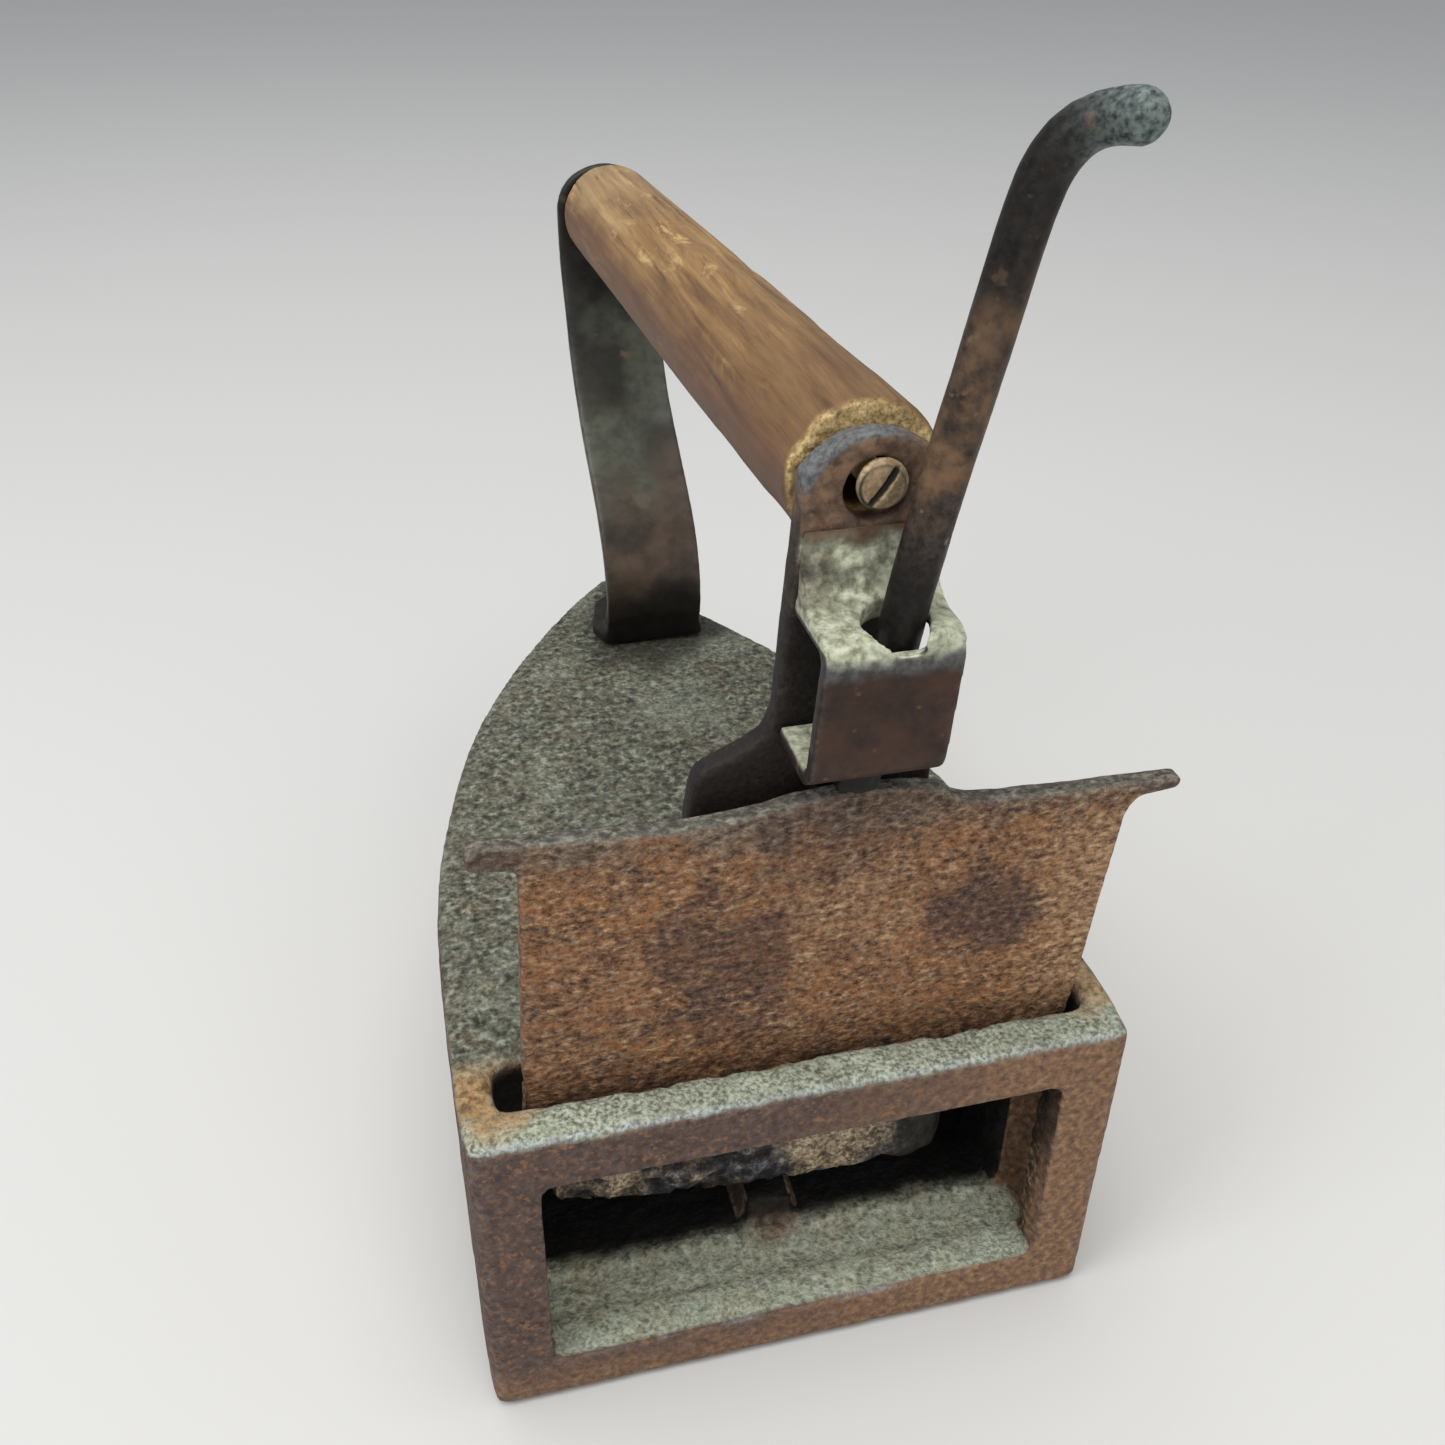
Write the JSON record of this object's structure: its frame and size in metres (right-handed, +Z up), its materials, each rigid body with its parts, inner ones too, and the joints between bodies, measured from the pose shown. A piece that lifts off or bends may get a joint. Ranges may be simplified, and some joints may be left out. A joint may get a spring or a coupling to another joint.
{
  "type": "box iron",
  "caption": "Boat-shaped hollow iron with a loose heating slug, a heel gate raised by a hooked rod, and a wooden grip bolted between a rear upright and a front strap.",
  "frame": {"origin": "on the sole plane, on the body's centre line, midway between heel and toe", "axes": "+X to the right seen from behind the heel, +Y from heel to toe, +Z up from the sole"},
  "size_m": [0.1097, 0.1906, 0.1978],
  "materials": {
    "casting": "rough sand-cast, rusted and dusty",
    "slug": "scaled from the fire",
    "gate": "coarse rust",
    "rod": "dark, worn smooth",
    "upright": "brown rust",
    "bracket": "dark red-brown with pale dust",
    "strap": "dark, worn smooth",
    "rivets": "rusted",
    "wood": "worn bare wood",
    "screw": "dull and dusty"
  },
  "bodies": {
    "iron": {"body_casting": "casting", "rear_upright": "upright", "upright_rivet_left": "rivets", "upright_rivet_right": "rivets", "guide_bracket": "bracket", "grip": "wood", "handle_bolt": "screw", "bolt_nut": "rivets", "front_strap": "strap", "front_foot_screw": "rivets"},
    "gate_pin": {"gate_rivet": "rivets"},
    "gate": {"gate_plate": "gate"},
    "rod": {"lift_rod": "rod"},
    "slug": {"heater_slug": "slug"}
  },
  "joints": [
    {"name": "gate_lift", "type": "slide", "parent": "iron", "child": "gate_pin", "axis": [0.0995, 0, 0.995], "range_m": [-0.0388, 0.001]},
    {"name": "gate_rock", "type": "hinge", "parent": "gate_pin", "child": "gate", "pos_m": [0.0049, -0.0742, 0.1034], "axis": [0, 1, 0], "range_deg": [-3.2, 0.3]},
    {"name": "rod_swing", "type": "hinge", "parent": "gate_pin", "child": "rod", "pos_m": [0.0049, -0.0742, 0.1034], "axis": [0, 1, 0], "range_deg": [-3.8, 0.3]},
    {"name": "slug_draw", "type": "slide", "parent": "iron", "child": "slug", "axis": [0, -1, 0], "range_m": [0, 0.165]}
  ],
  "couplings": [
    {"joint": "gate_rock", "follows": "gate_lift", "rad_per_m": 1.35},
    {"joint": "rod_swing", "follows": "gate_lift", "rad_per_m": 1.62}
  ]
}
